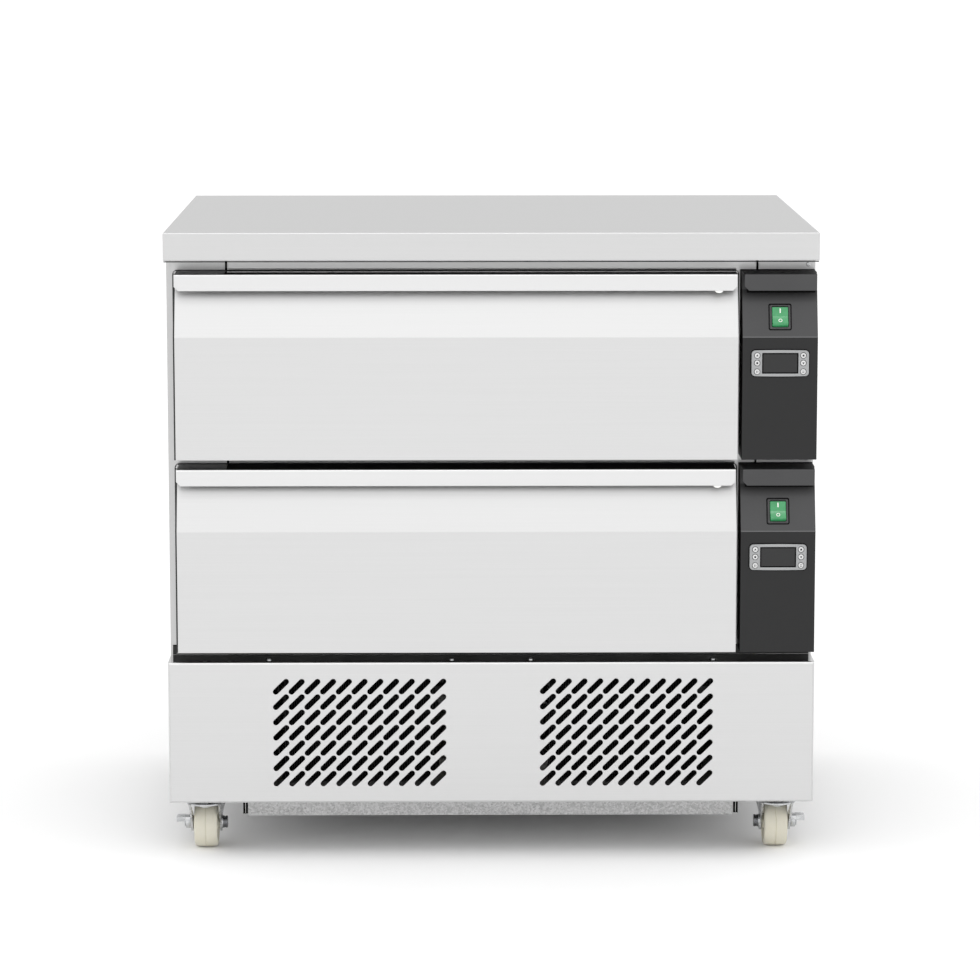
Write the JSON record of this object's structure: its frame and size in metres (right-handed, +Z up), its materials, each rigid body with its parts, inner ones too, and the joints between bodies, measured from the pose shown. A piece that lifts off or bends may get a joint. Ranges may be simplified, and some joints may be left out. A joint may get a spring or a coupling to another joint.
{
  "type": "refrigerated chef base",
  "caption": "Low refrigerated counter with stacked drawers under a steel worktop, side controls and a slotted front grille, on swivel casters.",
  "frame": {"origin": "on the floor, under the middle of the counter's whole width and depth", "axes": "+X to the right as seen from the front, +Y from the drawers to the back, +Z up"},
  "size_m": [0.9, 0.7072, 0.88],
  "materials": {
    "brushed_stainless": "satin",
    "front_stainless": "satin",
    "side_stainless": "satin",
    "liner_stainless": "satin",
    "galvanised_steel": "satin",
    "black_fascia": "satin",
    "black_enamel": "satin",
    "black_plastic": "satin",
    "silver_plastic": "satin",
    "dark_display": "gloss",
    "green_rocker": "gloss",
    "grey_gasket": "matte",
    "rigid_foam": "matte",
    "fin_aluminium": "satin",
    "copper_pipe": "satin",
    "runner_steel": "satin",
    "zinc_plate": "satin",
    "cream_nylon": "satin"
  },
  "bodies": {
    "cabinet": {"worktop": "brushed_stainless", "left_side_panel": "side_stainless", "right_side_panel": "side_stainless", "rear_panel": "galvanised_steel", "face_frame": "brushed_stainless", "insulation": "rigid_foam", "upper_liner": "liner_stainless", "lower_liner": "liner_stainless", "base_chassis": "galvanised_steel", "base_tray": "galvanised_steel", "grille_panel": "front_stainless", "power_inlet": "black_plastic", "upper_control_panel": "black_fascia", "lower_control_panel": "black_fascia", "switch_bodies": "black_plastic", "thermostats": "silver_plastic", "displays": "dark_display", "compressors": "black_enamel", "condensers": "black_enamel", "fan_shrouds": "black_enamel", "evaporators": "fin_aluminium", "refrigerant_pipes": "copper_pipe", "outer_runners": "runner_steel", "caster_plates": "zinc_plate"},
    "upper_drawer": {"upper_drawer_front": "front_stainless", "upper_drawer_core": "rigid_foam", "upper_gasket": "grey_gasket", "upper_drawer_frame": "liner_stainless"},
    "upper_middle_runners": {"upper_middle_runners": "runner_steel"},
    "upper_rocker": {"upper_rocker": "green_rocker"},
    "upper_key_left_top": {"upper_key_left_top": "silver_plastic"},
    "upper_key_left_middle": {"upper_key_left_middle": "silver_plastic"},
    "upper_key_left_bottom": {"upper_key_left_bottom": "silver_plastic"},
    "upper_key_right_top": {"upper_key_right_top": "silver_plastic"},
    "upper_key_right_middle": {"upper_key_right_middle": "silver_plastic"},
    "upper_key_right_bottom": {"upper_key_right_bottom": "silver_plastic"},
    "lower_drawer": {"lower_drawer_front": "front_stainless", "lower_drawer_core": "rigid_foam", "lower_gasket": "grey_gasket", "lower_drawer_frame": "liner_stainless"},
    "lower_middle_runners": {"lower_middle_runners": "runner_steel"},
    "lower_rocker": {"lower_rocker": "green_rocker"},
    "lower_key_left_top": {"lower_key_left_top": "silver_plastic"},
    "lower_key_left_middle": {"lower_key_left_middle": "silver_plastic"},
    "lower_key_left_bottom": {"lower_key_left_bottom": "silver_plastic"},
    "lower_key_right_top": {"lower_key_right_top": "silver_plastic"},
    "lower_key_right_middle": {"lower_key_right_middle": "silver_plastic"},
    "lower_key_right_bottom": {"lower_key_right_bottom": "silver_plastic"},
    "front_left_fork": {"front_left_fork": "zinc_plate"},
    "front_left_wheel": {"front_left_wheel": "cream_nylon"},
    "front_left_brake_lever": {"front_left_brake_lever": "zinc_plate"},
    "front_right_fork": {"front_right_fork": "zinc_plate"},
    "front_right_wheel": {"front_right_wheel": "cream_nylon"},
    "front_right_brake_lever": {"front_right_brake_lever": "zinc_plate"},
    "rear_left_fork": {"rear_left_fork": "zinc_plate"},
    "rear_left_wheel": {"rear_left_wheel": "cream_nylon"},
    "rear_right_fork": {"rear_right_fork": "zinc_plate"},
    "rear_right_wheel": {"rear_right_wheel": "cream_nylon"},
    "left_fan": {"left_fan": "black_plastic"},
    "right_fan": {"right_fan": "black_plastic"}
  },
  "joints": [
    {"name": "upper_drawer_slide", "type": "slide", "parent": "cabinet", "child": "upper_drawer", "axis": [0, -1, 0], "range_m": [0, 0.53]},
    {"name": "upper_middle_runner_slide", "type": "slide", "parent": "cabinet", "child": "upper_middle_runners", "axis": [0, -1, 0], "range_m": [0, 0.265]},
    {"name": "upper_rocker_tilt", "type": "hinge", "parent": "cabinet", "child": "upper_rocker", "pos_m": [0.3974, -0.33795, 0.76173], "axis": [1, 0, 0], "range_deg": [0, 22]},
    {"name": "upper_key_left_top_press", "type": "slide", "parent": "cabinet", "child": "upper_key_left_top", "axis": [0, 1, 0], "range_m": [0, 0.0006], "stiffness_N_per_m": 800},
    {"name": "upper_key_left_middle_press", "type": "slide", "parent": "cabinet", "child": "upper_key_left_middle", "axis": [0, 1, 0], "range_m": [0, 0.0006], "stiffness_N_per_m": 800},
    {"name": "upper_key_left_bottom_press", "type": "slide", "parent": "cabinet", "child": "upper_key_left_bottom", "axis": [0, 1, 0], "range_m": [0, 0.0006], "stiffness_N_per_m": 800},
    {"name": "upper_key_right_top_press", "type": "slide", "parent": "cabinet", "child": "upper_key_right_top", "axis": [0, 1, 0], "range_m": [0, 0.0006], "stiffness_N_per_m": 800},
    {"name": "upper_key_right_middle_press", "type": "slide", "parent": "cabinet", "child": "upper_key_right_middle", "axis": [0, 1, 0], "range_m": [0, 0.0006], "stiffness_N_per_m": 800},
    {"name": "upper_key_right_bottom_press", "type": "slide", "parent": "cabinet", "child": "upper_key_right_bottom", "axis": [0, 1, 0], "range_m": [0, 0.0006], "stiffness_N_per_m": 800},
    {"name": "lower_drawer_slide", "type": "slide", "parent": "cabinet", "child": "lower_drawer", "axis": [0, -1, 0], "range_m": [0, 0.53]},
    {"name": "lower_middle_runner_slide", "type": "slide", "parent": "cabinet", "child": "lower_middle_runners", "axis": [0, -1, 0], "range_m": [0, 0.265]},
    {"name": "lower_rocker_tilt", "type": "hinge", "parent": "cabinet", "child": "lower_rocker", "pos_m": [0.3974, -0.33795, 0.49123], "axis": [1, 0, 0], "range_deg": [0, 22]},
    {"name": "lower_key_left_top_press", "type": "slide", "parent": "cabinet", "child": "lower_key_left_top", "axis": [0, 1, 0], "range_m": [0, 0.0006], "stiffness_N_per_m": 800},
    {"name": "lower_key_left_middle_press", "type": "slide", "parent": "cabinet", "child": "lower_key_left_middle", "axis": [0, 1, 0], "range_m": [0, 0.0006], "stiffness_N_per_m": 800},
    {"name": "lower_key_left_bottom_press", "type": "slide", "parent": "cabinet", "child": "lower_key_left_bottom", "axis": [0, 1, 0], "range_m": [0, 0.0006], "stiffness_N_per_m": 800},
    {"name": "lower_key_right_top_press", "type": "slide", "parent": "cabinet", "child": "lower_key_right_top", "axis": [0, 1, 0], "range_m": [0, 0.0006], "stiffness_N_per_m": 800},
    {"name": "lower_key_right_middle_press", "type": "slide", "parent": "cabinet", "child": "lower_key_right_middle", "axis": [0, 1, 0], "range_m": [0, 0.0006], "stiffness_N_per_m": 800},
    {"name": "lower_key_right_bottom_press", "type": "slide", "parent": "cabinet", "child": "lower_key_right_bottom", "axis": [0, 1, 0], "range_m": [0, 0.0006], "stiffness_N_per_m": 800},
    {"name": "front_left_swivel", "type": "hinge", "parent": "cabinet", "child": "front_left_fork", "pos_m": [-0.4035, -0.3, 0.0724], "axis": [0, 0, 1], "continuous": true},
    {"name": "front_left_roll", "type": "hinge", "parent": "front_left_fork", "child": "front_left_wheel", "pos_m": [-0.4035, -0.265, 0.035], "axis": [1, 0, 0], "continuous": true},
    {"name": "front_left_brake", "type": "hinge", "parent": "front_left_fork", "child": "front_left_brake_lever", "pos_m": [-0.4035, -0.265, 0.035], "axis": [1, 0, 0], "range_deg": [0, 30]},
    {"name": "front_right_swivel", "type": "hinge", "parent": "cabinet", "child": "front_right_fork", "pos_m": [0.4035, -0.3, 0.0724], "axis": [0, 0, 1], "continuous": true},
    {"name": "front_right_roll", "type": "hinge", "parent": "front_right_fork", "child": "front_right_wheel", "pos_m": [0.4035, -0.265, 0.035], "axis": [1, 0, 0], "continuous": true},
    {"name": "front_right_brake", "type": "hinge", "parent": "front_right_fork", "child": "front_right_brake_lever", "pos_m": [0.4035, -0.265, 0.035], "axis": [1, 0, 0], "range_deg": [0, 30]},
    {"name": "rear_left_swivel", "type": "hinge", "parent": "cabinet", "child": "rear_left_fork", "pos_m": [-0.4035, 0.3, 0.0724], "axis": [0, 0, 1], "continuous": true},
    {"name": "rear_left_roll", "type": "hinge", "parent": "rear_left_fork", "child": "rear_left_wheel", "pos_m": [-0.4035, 0.265, 0.035], "axis": [1, 0, 0], "continuous": true},
    {"name": "rear_right_swivel", "type": "hinge", "parent": "cabinet", "child": "rear_right_fork", "pos_m": [0.4035, 0.3, 0.0724], "axis": [0, 0, 1], "continuous": true},
    {"name": "rear_right_roll", "type": "hinge", "parent": "rear_right_fork", "child": "rear_right_wheel", "pos_m": [0.4035, 0.265, 0.035], "axis": [1, 0, 0], "continuous": true},
    {"name": "left_fan_spin", "type": "hinge", "parent": "cabinet", "child": "left_fan", "pos_m": [-0.186, -0.242, 0.183], "axis": [0, 1, 0], "continuous": true},
    {"name": "right_fan_spin", "type": "hinge", "parent": "cabinet", "child": "right_fan", "pos_m": [0.186, -0.242, 0.183], "axis": [0, 1, 0], "continuous": true}
  ],
  "couplings": [
    {"joint": "upper_middle_runner_slide", "follows": "upper_drawer_slide", "ratio": 0.5},
    {"joint": "lower_middle_runner_slide", "follows": "lower_drawer_slide", "ratio": 0.5}
  ]
}
